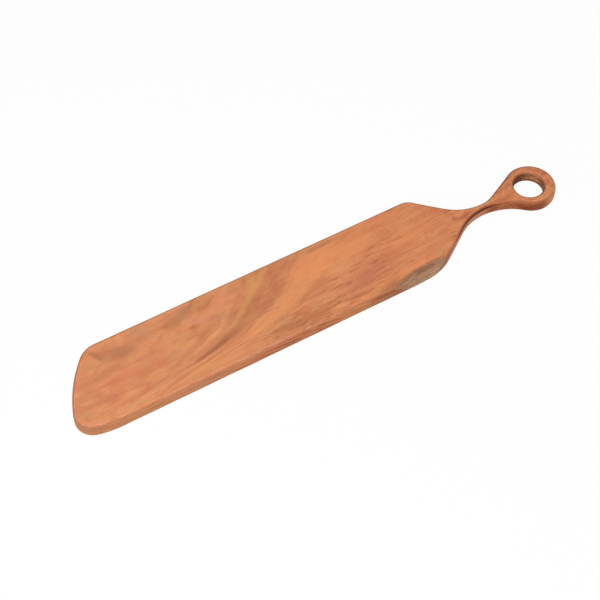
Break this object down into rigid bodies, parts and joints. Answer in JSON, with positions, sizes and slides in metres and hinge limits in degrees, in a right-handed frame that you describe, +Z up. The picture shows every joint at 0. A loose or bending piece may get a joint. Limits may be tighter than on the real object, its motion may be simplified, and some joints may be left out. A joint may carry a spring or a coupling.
{
  "type": "paddle charcuterie board",
  "caption": "Long narrow hardwood serving board with a slanted end, thin neck, ring handle and a short natural edge.",
  "frame": {"origin": "middle of the underside of the board's bounding box", "axes": "+X along the board towards the ring handle, +Y across the board to the plain side, +Z up out of the serving face"},
  "size_m": [0.6044, 0.0976, 0.016],
  "materials": {
    "wood": "oiled satin",
    "bark": "rough natural fibre"
  },
  "bodies": {
    "root": {"plank": "wood", "bark_edge": "bark"}
  },
  "joints": []
}
